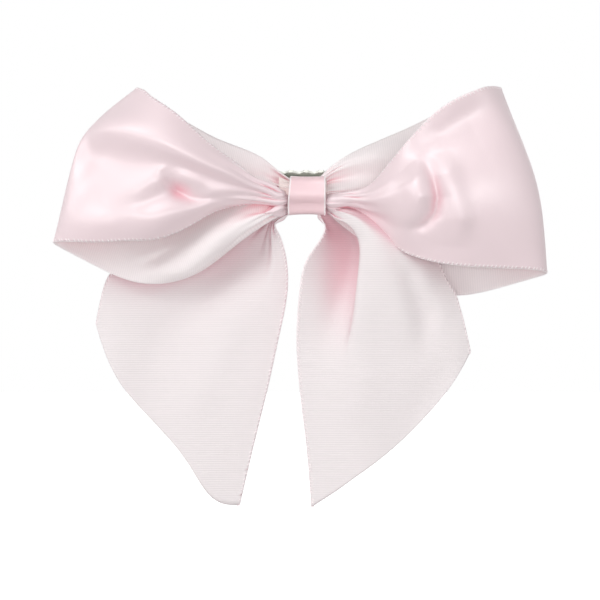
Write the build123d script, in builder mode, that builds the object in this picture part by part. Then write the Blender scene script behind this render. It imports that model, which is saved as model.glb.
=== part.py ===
"""Ribbon hair bow on a sprung alligator clip.

Millimetres. +X is to the right of someone facing the bow, +Z is up and the bow faces -Y.
The origin is where the clip grips: in the middle of the upper jaw's inner face, where hair lies.
"""

import os
from math import cos, radians, sin, tan

from build123d import *

# ---------------------------------------------------------------- bow ribbon
CLOTH = 0.6  # stands for the ribbon's weave and the small folds in it

# ---------------------------------------------------------------- centre
CENTRE_Z = -1.5  # the bow is glued a little low on its clip
WRAP_WIDTH = 7.9
WRAP_HEIGHT = 8.1
WRAP_FRONT = -7.4
WRAP_BACK = -1.5
WRAP_CLOTH = 0.5
WRAP_CORNER = 2.2
THREAD_TURNS = 5
THREAD_PITCH = 0.9
THREAD_R = 0.2
SLACK = 0.1  # clearance between the bundle, the thread and the wrap
BUNDLE_WIDTH = 7.0
GLUE_LENGTH = 8.6
GLUE_HEIGHT = 5.6

WRAP_DEPTH = WRAP_BACK - WRAP_FRONT
WRAP_MIDDLE_Y = (WRAP_FRONT + WRAP_BACK) / 2

# ---------------------------------------------------------------- clip
PLATE = 0.6  # sheet steel of both jaws
CLIP_TIP = -23.0
CLIP_END = 23.0
UPPER_WIDTH = 6.8  # of the upper jaw at its ears and under the handle
GRIP_WIDTH = 5.2  # of its part that lies between the toothed flanges
TIP_WIDTH = 4.2
PIVOT_X = 11.0
PIVOT_Y = 2.2
PIN_R = 0.8
PIN_HEAD_R = 1.3
PIN_HEAD = 0.4
RUNNING_FIT = 0.06
EAR_R = 1.85
UPPER_EAR_Z = 3.4  # outer face of the upper jaw's ears
LOWER_EAR_Z = 2.5  # outer face of the lower jaw's ears
TOOTH_PITCH = 3.36
TOOTH_DEPTH = 0.75
VALLEY_R = 1.5
SPLAY = 26.6  # degrees that the toothed flanges lean out
CREST_Y = -0.3
CREST_Z = 4.4
FLANGE = 0.5
FLANGE_TIP = -21.0
FLANGE_END = 6.6
FLOOR_Y = 4.4  # inside of the lower jaw under the pin
NOSE_Y = 1.7  # inside of the lower jaw near its tip
JAW_GAP = 0.3  # between the jaws when the clip is shut, the thickness of a lock of hair
VALLEYS = range(-6, 2)  # the scallops, counted from the tooth in the middle of the bow
NOSE_ROOM = 8.0
HANDLE_START = 14.0
HANDLE_LEAN = 22.0
HANDLE_WIDTH = 6.6
HANDLE_CORNER = 1.5
WIRE_R = 0.25
LEG_GAP = 0.1  # from the spring's upper leg to the handle
COIL_R = 1.3
COIL_TURNS = 4 + 172 / 360  # whole turns, and the part turn between the two legs
COIL_PITCH = 0.62
LEG_START = 98.0  # degrees round the pin where the coil runs out into the handle's leg
LEG_KNEE = 14.2
LEG_END = 19.0

# ---------------------------------------------------------------- ribbon shapes
# Each list runs along the ribbon from the knot outwards. A row crosses the ribbon from its upper or
# outer selvage to its lower or inner one.
LEFT_FRONT = (
    ((-4.5, -6.4, -1.0), (-4.5, -6.6, -1.4), (-4.5, -6.7, -1.9), (-4.5, -6.6, -2.4), (-4.5, -6.4, -2.8)),
    ((-10.1, -9.5, 2.0), (-10.6, -10.5, 1.0), (-11.2, -10.5, -0.8), (-12.0, -9.0, -2.4), (-13.0, -7.5, -3.6)),
    ((-18.9, -13.5, 8.0), (-20.0, -15.5, 4.5), (-21.0, -15.5, 0.8), (-22.5, -12.5, -3.8),
     (-24.4, -9.5, -8.4)),
    ((-26.0, -16.0, 14.0), (-28.0, -18.5, 8.5), (-30.0, -18.5, 2.0), (-32.0, -15.5, -4.5),
     (-34.3, -11.5, -11.1)),
    ((-32.3, -14.5, 19.0), (-36.0, -17.5, 12.5), (-39.5, -17.5, 4.0), (-42.5, -15.0, -4.0),
     (-45.3, -11.0, -11.7)),
    ((-37.1, -7.0, 22.1), (-44.5, -8.5, 15.0), (-49.7, -9.0, 8.5), (-52.8, -8.5, -1.0), (-55.2, -7.0, -11.3)),
)
LEFT_BACK = (
    ((-4.5, -3.9, 2.2), (-4.5, -4.1, 0.5), (-4.5, -4.1, -1.3), (-4.5, -4.1, -3.0), (-4.5, -4.0, -4.6)),
    ((-10.1, -0.8, 7.4), (-10.3, -2.3, 3.5), (-10.6, -3.0, -0.5), (-10.9, -3.4, -4.8), (-11.2, -3.2, -8.9)),
    ((-18.9, 3.0, 11.0), (-19.2, -1.7, 4.5), (-19.5, -2.8, -2.5), (-19.8, -2.4, -9.5), (-20.2, -2.0, -16.4)),
    ((-26.0, 5.5, 14.8), (-27.2, 0.6, 6.0), (-28.5, -1.2, -3.0), (-29.8, -1.0, -12.0), (-31.0, -1.5, -20.9)),
    ((-32.0, 4.0, 18.9), (-36.0, 3.0, 9.5), (-39.5, 1.5, 0.5), (-42.0, 0.0, -9.0), (-43.5, -2.0, -18.0)),
    ((-37.1, -6.7, 22.1), (-44.5, -8.2, 15.0), (-49.7, -8.7, 8.5), (-52.8, -8.2, -1.0), (-55.2, -6.7, -11.3)),
)
RIGHT_FRONT = (
    ((4.8, -6.4, -1.4), (4.8, -6.6, -1.8), (4.8, -6.7, -2.3), (4.8, -6.6, -2.8), (4.8, -6.4, -3.2)),
    ((13.0, -9.5, 0.2), (12.6, -11.0, -0.9), (12.2, -11.0, -2.4), (12.0, -9.5, -4.0), (11.9, -8.0, -5.4)),
    ((20.5, -14.0, 8.5), (20.3, -16.0, 4.0), (20.0, -16.0, -1.5), (19.7, -13.0, -7.5), (19.5, -10.0, -12.2)),
    ((29.0, -16.5, 16.8), (28.8, -19.0, 9.0), (28.6, -19.0, 0.5), (28.5, -16.5, -8.0), (28.4, -12.5, -16.0)),
    ((36.5, -14.5, 21.0), (38.0, -18.0, 12.0), (39.2, -18.0, 2.0), (40.2, -16.0, -8.0), (41.0, -12.0, -17.3)),
    ((42.6, -7.0, 22.2), (46.4, -8.5, 12.5), (49.8, -9.0, 4.5), (51.8, -8.5, -5.0), (52.8, -7.0, -18.0)),
)
RIGHT_BACK = (
    ((4.8, -2.3, 3.2), (4.8, -2.5, 1.4), (4.8, -2.6, -0.6), (4.8, -2.6, -2.6), (4.8, -2.4, -4.6)),
    ((12.0, -0.2, 8.6), (12.2, -2.2, 4.2), (12.4, -2.6, -1.5), (12.4, -2.0, -6.5), (12.4, 0.0, -11.5)),
    ((20.0, 3.0, 12.6), (20.4, -1.7, 5.5), (20.8, -2.8, -2.5), (21.0, -1.2, -10.5), (21.0, 1.0, -18.5)),
    ((28.0, 5.5, 16.4), (29.0, 1.0, 7.0), (29.8, -0.6, -3.0), (30.6, 0.4, -13.0), (31.2, 1.0, -23.0)),
    ((36.5, 4.0, 20.8), (38.6, 3.0, 10.5), (40.4, 2.0, -1.0), (41.6, 1.0, -12.0), (42.4, -1.0, -22.0)),
    ((42.6, -6.7, 22.2), (46.4, -8.2, 12.5), (49.8, -8.7, 4.5), (51.8, -8.2, -5.0), (52.8, -6.7, -18.0)),
)
LEFT_TAIL = (
    ((-4.5, -2.2, -3.0), (-4.5, -2.4, -3.6), (-4.5, -2.5, -4.2), (-4.5, -2.4, -4.8), (-4.5, -2.2, -5.4)),
    ((-13.0, 0.5, -8.9), (-11.8, 0.2, -10.2), (-10.2, 0.2, -11.3), (-8.0, 0.2, -12.0), (-5.6, 0.0, -12.0)),
    ((-24.0, 2.0, -15.2), (-20.5, 1.2, -19.5), (-16.0, 1.4, -23.0), (-10.5, 0.8, -25.2), (-4.9, 0.6, -26.0)),
    ((-35.0, 2.5, -21.7), (-29.5, 1.2, -29.0), (-23.0, 1.8, -35.5), (-15.5, 0.8, -39.8), (-7.5, 1.0, -41.5)),
    ((-46.7, 2.0, -29.0), (-40.8, 0.8, -43.2), (-32.6, 1.8, -53.8), (-24.0, 0.6, -63.3), (-15.0, 1.2, -70.8)),
)
RIGHT_TAIL = (
    ((4.8, -4.3, -2.6), (4.8, -4.5, -3.2), (4.8, -4.6, -3.8), (4.8, -4.5, -4.4), (4.8, -4.3, -5.0)),
    ((12.0, -4.0, -7.8), (10.4, -4.6, -10.0), (8.3, -4.4, -11.6), (5.6, -4.8, -12.8), (2.2, -4.2, -12.6)),
    ((21.0, -3.6, -12.5), (16.8, -4.6, -18.5), (11.8, -4.2, -23.2), (5.6, -5.0, -26.6), (-1.6, -4.0, -28.4)),
    ((30.0, -3.4, -18.0), (24.2, -4.8, -27.8), (17.0, -4.0, -35.8), (8.4, -5.0, -42.2), (-1.4, -4.0, -46.6)),
    ((36.2, -3.6, -35.8), (30.4, -4.8, -46.0), (20.9, -4.0, -55.7), (11.0, -5.0, -63.6), (1.4, -4.0, -70.3)),
)


def write(part, name):
    """Label a finished piece and write it to its own file."""
    part.label = name
    export_step(part, f"parts/{name}.step")


def ribbon_span(name, rows, side):
    """One span of the ribbon: a smooth face, thickened to the front (-1) or to the back (1)."""
    grid = [[Vector(*point) for point in row] for row in rows]
    face = Face.make_surface_from_array_of_points(grid, tol=0.02, min_deg=3, max_deg=5)
    with BuildPart() as span:
        thicken(face, amount=CLOTH, normal_override=(0, side, 0))
    write(span.part, name)


def centre_plane(x):
    """The plane across the bow's centre at x, with its own X along +Y and its Y along +Z."""
    return Plane(origin=(x, WRAP_MIDDLE_Y, CENTRE_Z), x_dir=(0, 1, 0), z_dir=(1, 0, 0))


def gathered_centre():
    """The three passes of ribbon squeezed together under the thread."""
    inset = WRAP_CLOTH + 2 * THREAD_R + 2 * SLACK
    with BuildPart() as bundle:
        with BuildSketch(centre_plane(-BUNDLE_WIDTH / 2)):
            RectangleRounded(WRAP_DEPTH - 2 * inset, WRAP_HEIGHT - 2 * inset, WRAP_CORNER - inset)
        extrude(amount=BUNDLE_WIDTH)
    write(bundle.part, "gathered_centre")


def gathering_thread():
    """Turns of thread pulled tight round the bundle, each one a closed ring."""
    inset = WRAP_CLOTH + THREAD_R + SLACK
    half_depth = WRAP_DEPTH / 2 - inset
    half_height = WRAP_HEIGHT / 2 - inset
    corner = WRAP_CORNER - inset
    first = -THREAD_PITCH * (THREAD_TURNS - 1) / 2
    with BuildPart() as thread:
        for turn in range(THREAD_TURNS):
            plane = centre_plane(first + turn * THREAD_PITCH)
            with BuildLine(plane) as ring:
                outline = Polyline(
                    (-half_depth, -half_height),
                    (half_depth, -half_height),
                    (half_depth, half_height),
                    (-half_depth, half_height),
                    close=True,
                )
                fillet(outline.vertices(), corner)
            start = ring.wire() @ 0.01
            along = ring.wire() % 0.01
            with BuildSketch(Plane(origin=start, z_dir=along)):
                Circle(THREAD_R)
            sweep(path=ring.wire())
    write(thread.part, "gathering_thread")


def centre_wrap():
    """A band of narrow ribbon round the gathered centre."""
    with BuildPart() as wrap:
        with BuildSketch(centre_plane(-WRAP_WIDTH / 2)):
            RectangleRounded(WRAP_DEPTH, WRAP_HEIGHT, WRAP_CORNER)
            offset(amount=-WRAP_CLOTH, mode=Mode.SUBTRACT)
        extrude(amount=WRAP_WIDTH)
    write(wrap.part, "centre_wrap")


def glue_pad():
    """Hot-melt glue that fills the gap from the wrap to the clip's upper jaw."""
    with BuildPart() as glue:
        with BuildSketch(Plane.XZ.offset(PLATE)):
            with Locations((0, CENTRE_Z)):
                RectangleRounded(GLUE_LENGTH, GLUE_HEIGHT, GLUE_HEIGHT / 3)
        extrude(amount=-WRAP_BACK - PLATE)
    write(glue.part, "glue_pad")


def pin_hole(radius):
    """A rod on the hinge axis, long enough to cut both ears."""
    with BuildPart() as rod:
        with BuildSketch(Plane(origin=(PIVOT_X, PIVOT_Y, -CREST_Z), z_dir=(0, 0, 1))):
            Circle(radius)
        extrude(amount=2 * CREST_Z)
    return rod.part


def upper_jaw():
    """Flat strip with a rounded tip and a wider tail, whose two folded ears hold the pin."""
    hole = pin_hole(PIN_R)
    with BuildPart() as jaw:
        with BuildSketch(Plane.XZ):
            with BuildLine():
                Polyline(
                    (CLIP_TIP, -TIP_WIDTH / 2),
                    (CLIP_TIP + 5, -GRIP_WIDTH / 2),
                    (FLANGE_END, -GRIP_WIDTH / 2),
                    (PIVOT_X - EAR_R, -UPPER_WIDTH / 2),
                    (CLIP_END, -UPPER_WIDTH / 2),
                    (CLIP_END, UPPER_WIDTH / 2),
                    (PIVOT_X - EAR_R, UPPER_WIDTH / 2),
                    (FLANGE_END, GRIP_WIDTH / 2),
                    (CLIP_TIP + 5, GRIP_WIDTH / 2),
                    (CLIP_TIP, TIP_WIDTH / 2),
                    close=True,
                )
            make_face()
        extrude(amount=PLATE)
        fillet(jaw.edges().filter_by(Axis.Y).group_by(Axis.X)[0], TIP_WIDTH / 2 - 0.1)
        fillet(jaw.edges().filter_by(Axis.Y).group_by(Axis.X)[-1], HANDLE_CORNER)
        for side in (-1, 1):
            face_z = UPPER_EAR_Z if side > 0 else PLATE - UPPER_EAR_Z
            with BuildSketch(Plane.XY.offset(face_z)):
                with Locations((PIVOT_X, PIVOT_Y)):
                    Circle(EAR_R)
                with Locations((PIVOT_X, PIVOT_Y / 2 - PLATE / 4)):
                    Rectangle(2 * EAR_R, PIVOT_Y + PLATE / 2)
            extrude(amount=-PLATE)
        add(hole, mode=Mode.SUBTRACT)
    write(jaw.part, "clip_upper_jaw")


def jaw_section(inset):
    """Prism along X of the lower jaw's section: a trough whose sides lean out by SPLAY."""
    lean = tan(radians(SPLAY))
    half_crest = CREST_Z - inset / cos(radians(SPLAY))
    half_floor = half_crest - (FLOOR_Y + 2 * PLATE - CREST_Y) * lean
    with BuildPart() as prism:
        with BuildSketch(Plane(origin=(FLANGE_TIP - PLATE, 0, 0), x_dir=(0, 1, 0), z_dir=(1, 0, 0))):
            with BuildLine():
                Polyline(
                    (CREST_Y, -half_crest),
                    (FLOOR_Y + 2 * PLATE, -half_floor),
                    (FLOOR_Y + 2 * PLATE, half_floor),
                    (CREST_Y, half_crest),
                    close=True,
                )
            make_face()
        extrude(amount=FLANGE_END - FLANGE_TIP + 2 * PLATE * inset / FLANGE + PLATE)
    return prism.part


def jaw_side(inset):
    """Slab of the lower jaw's side view: shallow at the tip and deep under the pin."""
    nose_x = FLANGE_TIP - PLATE + inset
    heel_x = FLANGE_END + inset
    with BuildPart() as slab:
        with BuildSketch(Plane.XY.offset(-CREST_Z)):
            with BuildLine():
                Polyline(
                    (nose_x, CREST_Y),
                    (nose_x, NOSE_Y + PLATE - inset),
                    (heel_x, FLOOR_Y + PLATE - inset),
                    (heel_x, CREST_Y),
                    close=True,
                )
            make_face()
        extrude(amount=2 * CREST_Z)
    return slab.part


def lower_jaw():
    """Tapered trough with scalloped flanges, two ears on the pin and a handle that leans back."""
    outer = jaw_section(0) & jaw_side(0)
    hollow = jaw_section(FLANGE) & jaw_side(PLATE)
    hole = pin_hole(PIN_R + RUNNING_FIT)
    handle_rise = (CLIP_END - HANDLE_START) * tan(radians(HANDLE_LEAN))
    plate_room = UPPER_WIDTH / 2 + JAW_GAP
    with BuildPart() as jaw:
        add(outer)
        add(hollow, mode=Mode.SUBTRACT)
        # Room for the upper jaw, which the nose stops short of when the clip is shut.
        with BuildSketch(Plane.XY.offset(-plate_room)):
            with Locations((FLANGE_TIP - PLATE, JAW_GAP)):
                Rectangle(NOSE_ROOM, NOSE_ROOM, align=(Align.CENTER, Align.MAX))
        extrude(amount=2 * plate_room, mode=Mode.SUBTRACT)
        # Scallops between the teeth of both flanges.
        for side in (-1, 1):
            down = Vector(0, cos(radians(SPLAY)), -side * sin(radians(SPLAY)))
            across = Vector(1, 0, 0).cross(down)
            valleys = [((k + 0.5) * TOOTH_PITCH, TOOTH_DEPTH - VALLEY_R) for k in VALLEYS]
            with BuildSketch(Plane(origin=(0, CREST_Y, side * CREST_Z), x_dir=(1, 0, 0), z_dir=across)):
                with Locations(*valleys):
                    Circle(VALLEY_R)
            extrude(amount=2 * FLANGE, both=True, mode=Mode.SUBTRACT)
        # Floor under the pin.
        with BuildSketch(Plane.XY.offset(-LOWER_EAR_Z)):
            with Locations((FLANGE_END - PLATE, FLOOR_Y)):
                Rectangle(HANDLE_START - FLANGE_END + PLATE, PLATE, align=(Align.MIN, Align.MIN))
        extrude(amount=2 * LOWER_EAR_Z)
        for ear_z in (-LOWER_EAR_Z, LOWER_EAR_Z - PLATE):
            with BuildSketch(Plane.XY.offset(ear_z)):
                with Locations((PIVOT_X, PIVOT_Y)):
                    Circle(EAR_R)
                    Rectangle(2 * EAR_R, FLOOR_Y + PLATE / 2 - PIVOT_Y, align=(Align.CENTER, Align.MIN))
            extrude(amount=PLATE)
        add(hole, mode=Mode.SUBTRACT)
        with BuildSketch(Plane.XY.offset(-HANDLE_WIDTH / 2)):
            with BuildLine():
                Polyline(
                    (HANDLE_START - PLATE, FLOOR_Y),
                    (HANDLE_START, FLOOR_Y),
                    (CLIP_END, FLOOR_Y + handle_rise),
                    (CLIP_END, FLOOR_Y + handle_rise + PLATE),
                    (HANDLE_START - PLATE, FLOOR_Y + PLATE),
                    close=True,
                )
            make_face()
        extrude(amount=HANDLE_WIDTH)
        fillet(jaw.edges().group_by(Axis.X)[-1].filter_by(Axis.Y), HANDLE_CORNER)
    write(jaw.part, "clip_lower_jaw")


def pin():
    """Hinge pin with a flat rivet head outside each of the upper jaw's ears."""
    with BuildPart() as rod:
        with BuildSketch(Plane(origin=(PIVOT_X, PIVOT_Y, -UPPER_EAR_Z))):
            Circle(PIN_R)
        extrude(amount=2 * UPPER_EAR_Z)
        with BuildSketch(Plane(origin=(PIVOT_X, PIVOT_Y, UPPER_EAR_Z))):
            Circle(PIN_HEAD_R)
        extrude(amount=PIN_HEAD)
        with BuildSketch(Plane(origin=(PIVOT_X, PIVOT_Y, -UPPER_EAR_Z - PIN_HEAD))):
            Circle(PIN_HEAD_R)
        extrude(amount=PIN_HEAD)
    write(rod.part, "clip_pin")


def spring():
    """Torsion spring: a coil round the pin and a leg against each jaw behind the pin."""
    height = COIL_PITCH * COIL_TURNS
    start_angle = radians(LEG_START)
    leg_y = PIVOT_Y + COIL_R * sin(start_angle)
    leg_x = PIVOT_X + COIL_R * cos(start_angle)
    lean = radians(LEG_START - 90)
    knee = (LEG_KNEE - leg_x) / cos(lean)
    knee_y = leg_y + knee * sin(lean)
    touch_y = FLOOR_Y + (LEG_END - HANDLE_START) * tan(radians(HANDLE_LEAN)) - WIRE_R - LEG_GAP
    low_leg = (
        (PIVOT_X, PIVOT_Y - COIL_R, -height / 2),
        (LEG_END, 2 * WIRE_R, -height / 2),
    )
    high_leg = (
        (leg_x, leg_y, height / 2),
        (LEG_KNEE, knee_y, height / 2),
        (LEG_END, touch_y, height / 2),
    )
    with BuildPart() as wire:
        base = Plane(origin=(PIVOT_X, PIVOT_Y, -height / 2), x_dir=(0, -1, 0), z_dir=(0, 0, 1))
        with BuildLine(base) as coil:
            Helix(pitch=COIL_PITCH, height=height, radius=COIL_R, lefthand=True)
        with BuildSketch(coil.line ^ 0):
            Circle(WIRE_R)
        sweep(path=coil.line, is_frenet=True)
        for route in (low_leg, high_leg):
            with BuildLine() as leg:
                Polyline(*route)
            with BuildSketch(leg.line ^ 0):
                Circle(WIRE_R)
            sweep(path=leg.line, transition=Transition.ROUND)
    write(wire.part, "clip_spring")


os.makedirs("parts", exist_ok=True)
ribbon_span("left_loop_front", LEFT_FRONT, -1)
ribbon_span("left_loop_back", LEFT_BACK, 1)
ribbon_span("right_loop_front", RIGHT_FRONT, -1)
ribbon_span("right_loop_back", RIGHT_BACK, 1)
ribbon_span("left_tail", LEFT_TAIL, 1)
ribbon_span("right_tail", RIGHT_TAIL, 1)
gathered_centre()
gathering_thread()
centre_wrap()
glue_pad()
upper_jaw()
lower_jaw()
pin()
spring()
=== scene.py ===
"""Looks of the ribbon hair bow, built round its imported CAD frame.

The satin bow is one ribbon, drawn here as four sheets: each loop runs from the knot, round its fold
and back, and each tail runs from the knot to its cut end. Lengths are millimetres until a mesh is made.
"""

import math

import bpy
import numpy as np
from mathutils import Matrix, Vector


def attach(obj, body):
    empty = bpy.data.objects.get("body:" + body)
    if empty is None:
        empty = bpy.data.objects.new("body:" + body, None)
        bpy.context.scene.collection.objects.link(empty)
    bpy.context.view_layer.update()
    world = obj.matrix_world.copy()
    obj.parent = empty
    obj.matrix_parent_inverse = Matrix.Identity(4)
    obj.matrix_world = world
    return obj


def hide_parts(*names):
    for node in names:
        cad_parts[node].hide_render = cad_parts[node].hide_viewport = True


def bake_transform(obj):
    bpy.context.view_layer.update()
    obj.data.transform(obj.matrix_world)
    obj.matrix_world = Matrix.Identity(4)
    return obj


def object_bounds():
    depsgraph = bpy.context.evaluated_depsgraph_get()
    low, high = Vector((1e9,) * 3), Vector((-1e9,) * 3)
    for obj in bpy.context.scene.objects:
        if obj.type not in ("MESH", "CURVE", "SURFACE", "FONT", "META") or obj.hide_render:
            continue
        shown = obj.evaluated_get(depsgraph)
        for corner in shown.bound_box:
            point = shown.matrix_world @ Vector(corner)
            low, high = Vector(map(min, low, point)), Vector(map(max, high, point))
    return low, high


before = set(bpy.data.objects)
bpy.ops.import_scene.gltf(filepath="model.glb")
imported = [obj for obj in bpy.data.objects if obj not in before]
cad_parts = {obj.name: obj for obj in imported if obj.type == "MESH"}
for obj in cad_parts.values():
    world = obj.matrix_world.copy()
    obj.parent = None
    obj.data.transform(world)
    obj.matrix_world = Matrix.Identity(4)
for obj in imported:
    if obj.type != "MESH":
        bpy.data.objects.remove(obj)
cad_low, cad_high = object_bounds()

MM = 0.001
RIBBON_WIDTH = 40.0
CLOTH = 0.30
CELL = 0.4  # spacing of a sheet's mesh
STITCH_PITCH = 0.95
STITCH_LENGTH = 0.85
STITCH_R = 0.14
STITCH_RISE = 0.6  # height of a stitch over its width
CORD_R = 0.17

# ------------------------------------------------------------------ shapes of the sheets
# Rows run along the ribbon. Each row crosses it, from the upper or outer selvage to the other one,
# and has as many (x, y, z) points as its shape needs.
LEFT_LOOP = (
    ((-2.5, -5.6, -0.9), (-2.5, -6.2, -1.5), (-2.5, -6.3, -2.0), (-2.5, -6.2, -2.5), (-2.5, -5.8, -3.0)),
    ((-4.6, -6.3, -1.8), (-4.6, -7.0, -2.0), (-4.6, -7.2, -2.3), (-4.6, -6.8, -2.7), (-4.6, -5.6, -3.0)),
    ((-7.0, -7.2, -0.1), (-7.2, -7.9, -0.5), (-7.5, -8.4, -0.9), (-7.8, -7.9, -1.4), (-8.1, -7.9, -1.9),
     (-8.5, -7.5, -2.3), (-8.9, -6.6, -2.7), (-9.2, -5.4, -3.0)),
    ((-10.8, -8.6, 2.1), (-11.2, -9.7, 1.3), (-11.6, -10.6, 0.6), (-12.0, -9.6, -0.3), (-12.6, -9.8, -1.2),
     (-13.4, -9.4, -2.1), (-14.1, -8.0, -2.9), (-14.8, -6.2, -3.6)),
    ((-15.0, -10.8, 5.3), (-15.6, -12.4, 4.0), (-16.2, -13.6, 2.7), (-16.9, -11.8, 1.2),
     (-17.7, -11.8, -0.4),
     (-18.7, -11.4, -2.2), (-19.5, -10.2, -3.7), (-20.4, -8.0, -5.2)),
    ((-19.7, -12.6, 8.6), (-20.5, -14.7, 6.7), (-21.2, -16.0, 4.8), (-22.0, -13.4, 2.9),
     (-22.9, -13.4, 0.7),
     (-23.9, -12.8, -1.9), (-25.1, -12.6, -4.8), (-26.3, -9.6, -8.6)),
    ((-24.0, -13.8, 12.3), (-25.2, -16.1, 9.6), (-26.2, -17.3, 7.0), (-27.4, -14.8, 4.6),
     (-28.4, -15.6, 2.2),
     (-29.2, -13.4, -0.6), (-30.8, -14.6, -5.2), (-32.6, -11.0, -11.0)),
    ((-28.4, -14.2, 16.2), (-30.2, -16.6, 12.8), (-31.8, -17.6, 9.6), (-33.2, -15.0, 5.8),
     (-34.4, -15.0, 2.2),
     (-35.6, -15.2, -1.2), (-37.4, -14.6, -6.2), (-39.0, -11.6, -11.4)),
    ((-32.1, -13.2, 18.8), (-34.8, -15.6, 15.0), (-37.2, -16.8, 11.5), (-39.0, -13.6, 6.8),
     (-40.4, -13.3, 2.2),
     (-41.8, -13.6, -2.0), (-43.5, -13.6, -6.6), (-45.0, -11.0, -11.7)),
    ((-34.4, -11.0, 20.5), (-38.4, -13.2, 16.6), (-42.2, -14.4, 13.1), (-44.6, -11.1, 7.6),
     (-46.4, -11.0, 2.6),
     (-47.6, -11.4, -2.0), (-49.2, -11.6, -6.8), (-50.3, -9.9, -11.6)),
    ((-35.9, -8.8, 21.7), (-41.2, -9.9, 17.8), (-45.6, -10.8, 13.6), (-48.0, -8.9, 8.8), (-50.1, -9.2, 3.4),
     (-51.6, -10.2, -1.6), (-52.9, -9.6, -7.0), (-53.5, -8.6, -11.5)),
    ((-37.1, -7.0, 22.1), (-41.6, -7.4, 18.7), (-46.0, -7.8, 14.8), (-49.2, -7.8, 11.0), (-51.3, -8.0, 5.4),
     (-52.8, -7.9, -0.6), (-54.1, -7.5, -6.2), (-55.4, -6.8, -11.6)),
    ((-36.4, -4.0, 21.6), (-42.6, -3.6, 14.5), (-47.6, -3.4, 7.0), (-51.2, -3.6, -2.4),
     (-54.2, -4.6, -12.8)),
    ((-32.4, 2.5, 18.6), (-36.5, 2.0, 9.5), (-40.6, 0.5, 0.5), (-44.0, -1.0, -8.8), (-46.6, -2.6, -16.8)),
    ((-26.0, 4.5, 14.8), (-28.5, 0.5, 6.0), (-31.0, -0.4, -3.0), (-33.5, -1.8, -12.0), (-35.2, -3.4, -17.4),
     (-35.8, -2.4, -20.7)),
    ((-18.9, 2.4, 11.0), (-20.3, -1.7, 4.0), (-21.6, -2.4, -3.0), (-22.6, -5.6, -9.0), (-24.2, -6.8, -14.0),
     (-25.4, -4.6, -18.4), (-25.0, -1.6, -18.9)),
    ((-10.1, -0.9, 7.2), (-11.0, -2.2, 3.0), (-11.8, -3.4, -1.0), (-12.6, -6.2, -4.6), (-13.8, -7.4, -7.6),
     (-15.5, -5.6, -11.2), (-15.2, -2.6, -12.0)),
    ((-5.0, -3.2, 3.2), (-5.0, -4.0, 1.4), (-5.0, -4.4, -0.6), (-5.1, -6.0, -2.9), (-5.4, -6.9, -3.9),
     (-5.9, -5.8, -5.4), (-5.9, -4.0, -5.9)),
    ((-2.5, -4.0, 1.6), (-2.5, -4.6, 0.4), (-2.5, -4.6, -1.2), (-2.5, -4.6, -2.8), (-2.5, -4.2, -4.4)),
)
RIGHT_LOOP = (
    ((2.6, -5.6, -1.2), (2.6, -6.2, -1.8), (2.6, -6.3, -2.3), (2.6, -6.2, -2.8), (2.6, -5.8, -3.3)),
    ((4.8, -6.2, -2.0), (4.8, -7.0, -2.3), (4.8, -7.2, -2.7), (4.8, -6.6, -3.1), (4.8, -5.6, -3.4)),
    ((9.2, -7.4, -1.2), (9.4, -8.2, -1.7), (9.5, -8.6, -2.3), (9.6, -7.4, -3.1), (9.8, -5.0, -4.3)),
    ((13.6, -8.4, 0.4), (13.7, -10.2, -1.0), (13.7, -10.7, -2.7), (13.5, -8.6, -4.5), (13.2, -5.2, -6.2)),
    ((17.3, -10.8, 4.2), (17.0, -12.9, 1.0), (16.8, -13.4, -2.4), (16.5, -10.4, -5.8), (16.0, -6.0, -8.9)),
    ((22.0, -14.2, 9.9), (22.0, -15.6, 4.6), (21.8, -16.1, -1.4), (21.4, -13.0, -8.0), (20.6, -8.0, -13.2)),
    ((28.4, -16.6, 16.4), (28.4, -17.4, 9.0), (28.2, -17.6, 0.5), (28.2, -15.4, -8.0),
     (28.4, -12.0, -16.1)),
    ((36.2, -16.0, 20.8), (37.8, -16.6, 12.0), (39.2, -17.0, 2.0), (40.2, -15.4, -8.0),
     (41.0, -11.6, -17.3)),
    ((41.0, -11.6, 22.2), (45.0, -12.2, 12.8), (48.0, -12.4, 3.4), (50.0, -11.6, -7.0),
     (51.2, -9.4, -17.9)),
    ((42.9, -7.0, 22.1), (45.3, -7.6, 15.7), (48.4, -8.0, 7.9), (51.0, -7.8, -0.5), (52.3, -7.4, -9.5),
     (53.0, -6.8, -18.5)),
    ((41.6, -4.0, 21.8), (45.2, -3.4, 12.4), (48.2, -3.2, 3.0), (50.2, -3.4, -8.0), (51.4, -4.6, -19.2)),
    ((36.4, 2.4, 20.6), (38.4, 2.2, 10.5), (40.2, 1.4, -1.0), (41.6, 0.2, -12.0), (42.4, -1.8, -21.8)),
    ((28.0, 4.8, 16.4), (29.0, 1.0, 7.0), (29.8, -0.6, -3.0), (30.6, 0.2, -13.0), (31.2, 0.6, -23.2)),
    ((20.0, 2.6, 12.5), (20.4, -1.8, 7.5), (20.6, -2.6, 2.5), (20.8, -3.4, -2.5), (21.0, -1.6, -10.5),
     (21.0, 0.6, -18.5)),
    ((11.8, -0.6, 8.8), (12.0, -3.0, 6.2), (12.2, -2.4, 3.2), (12.2, -3.8, 0.2), (12.2, -3.4, -2.4),
     (12.2, -2.4, -6.0), (12.2, -1.0, -11.0)),
    ((7.6, -2.0, 6.4), (7.6, -3.0, 4.8), (7.6, -1.8, 2.4), (7.6, -4.6, -0.2), (7.6, -4.4, -1.8),
     (7.4, -2.9, -4.4),
     (7.4, -2.0, -7.4)),
    ((5.2, -2.4, 4.6), (5.2, -2.8, 3.4), (5.2, -1.8, 1.9), (5.2, -4.7, -0.4), (5.2, -4.8, -1.4),
     (5.2, -3.0, -3.2),
     (5.2, -2.6, -5.6)),
    ((2.6, -2.7, 2.0), (2.6, -3.0, 0.6), (2.6, -3.0, -1.2), (2.6, -3.0, -3.0), (2.6, -2.8, -4.6)),
)
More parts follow.
